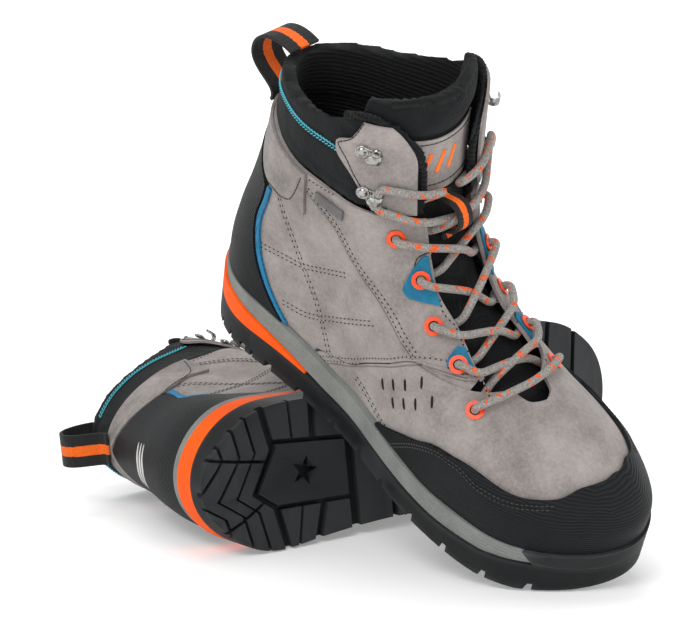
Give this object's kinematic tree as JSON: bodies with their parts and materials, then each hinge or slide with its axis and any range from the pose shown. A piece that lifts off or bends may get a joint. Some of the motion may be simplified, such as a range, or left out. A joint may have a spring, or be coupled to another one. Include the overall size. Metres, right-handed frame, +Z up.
{
  "type": "hiking boots",
  "caption": "Pair of mid-height lace-up hiking boots with padded collars, open lace hooks, toe rands and lugged rubber soles; one boot leans nose down across the other, which lies on its side",
  "frame": {"origin": "Middle of the bottom of the box round both boots, on the floor they rest on", "axes": "+X runs along the lying left boot from its heel to its toe, +Y from its tread towards its leg opening, +Z up; both treads face the -Y side"},
  "size_m": [0.3004, 0.4047, 0.2906],
  "materials": {
    "suede": "matte napped suede, light warm grey",
    "suede_rough": "coarse napped suede",
    "rand_black": "matte, very fine ribs",
    "rubber_black": "matte moulded rubber",
    "rubber_grey": "matte moulded rubber",
    "eva_grey": "matte moulded foam with a fine skin",
    "wedge_orange": "matte moulded foam",
    "mesh_blue": "woven mesh piping",
    "leather_blue": "smooth grained",
    "eyelet_orange": "satin lacquer",
    "nickel": "polished nickel plate",
    "steel": "plain spring steel",
    "collar_black": "fine neoprene-backed knit",
    "lining_black": "ribbed knit",
    "webbing": "woven tape, black with orange threads",
    "lace_grey": "round braid, grey with orange flecks",
    "tag_grey": "finely ribbed",
    "footbed": "felt top on foam",
    "board": "pressed fibre"
  },
  "bodies": {
    "left_boot": {"left_heel_wedge": "wedge_orange", "left_shank": "steel", "left_midsole": "eva_grey", "left_toe_bumper": "rubber_grey", "left_insole_board": "board", "left_footbed": "footbed", "left_outsole": "rubber_black", "left_quarter": "suede", "left_vamp": "suede", "left_toe_rand": "rand_black", "left_heel_cap": "rand_black", "left_heel_piping": "mesh_blue", "left_heel_band": "suede_rough", "left_eyelet_patches": "leather_blue", "left_eyelets": "eyelet_orange", "left_collar": "collar_black", "left_hook_panels": "suede", "left_heel_counter": "board", "left_toe_puff": "board", "left_lining": "lining_black", "left_vamp_lining": "lining_black", "left_side_tag": "tag_grey", "left_lace_hooks": "nickel", "left_hook_rivets": "nickel", "left_lace": "lace_grey"},
    "right_boot": {"right_heel_wedge": "wedge_orange", "right_shank": "steel", "right_midsole": "eva_grey", "right_toe_bumper": "rubber_grey", "right_insole_board": "board", "right_footbed": "footbed", "right_outsole": "rubber_black", "right_quarter": "suede", "right_vamp": "suede", "right_toe_rand": "rand_black", "right_heel_cap": "rand_black", "right_heel_piping": "mesh_blue", "right_heel_band": "suede_rough", "right_eyelet_patches": "leather_blue", "right_eyelets": "eyelet_orange", "right_collar": "collar_black", "right_hook_panels": "suede", "right_heel_counter": "board", "right_toe_puff": "board", "right_lining": "lining_black", "right_vamp_lining": "lining_black", "right_side_tag": "tag_grey", "right_lace_hooks": "nickel", "right_hook_rivets": "nickel", "right_lace": "lace_grey"},
    "left_tongue_flap": {"left_tongue": "lining_black", "left_tongue_patch": "suede", "left_lace_keeper": "webbing"},
    "right_tongue_flap": {"right_tongue": "lining_black", "right_tongue_patch": "suede", "right_lace_keeper": "webbing"},
    "left_pull_loop_body": {"left_pull_loop": "webbing"},
    "right_pull_loop_body": {"right_pull_loop": "webbing"}
  },
  "joints": [
    {"name": "right_boot_lift", "type": "slide", "parent": "left_boot", "child": "right_boot", "axis": [0, 0, 1], "range_m": [0, 0.25]},
    {"name": "left_tongue_hinge", "type": "hinge", "parent": "left_boot", "child": "left_tongue_flap", "pos_m": [0.07859, 0.0643, 0.05614], "axis": [0.085, -0.0116, -0.9963], "range_deg": [-1.5, 0], "stiffness_Nm_per_rad": 0.6},
    {"name": "left_pull_loop_hinge", "type": "hinge", "parent": "left_boot", "child": "left_pull_loop_body", "pos_m": [-0.12958, 0.13429, 0.03758], "axis": [0.085, -0.0116, -0.9963], "range_deg": [-30, 0], "stiffness_Nm_per_rad": 0.05},
    {"name": "right_tongue_hinge", "type": "hinge", "parent": "right_boot", "child": "right_tongue_flap", "pos_m": [-0.03507, -0.15449, 0.09311], "axis": [0.9476, 0.0665, 0.3126], "range_deg": [-1.5, 0], "stiffness_Nm_per_rad": 0.6},
    {"name": "right_pull_loop_hinge", "type": "hinge", "parent": "right_boot", "child": "right_pull_loop_body", "pos_m": [-0.09753, -0.01627, 0.25303], "axis": [0.9476, 0.0665, 0.3126], "range_deg": [-30, 0], "stiffness_Nm_per_rad": 0.05}
  ]
}
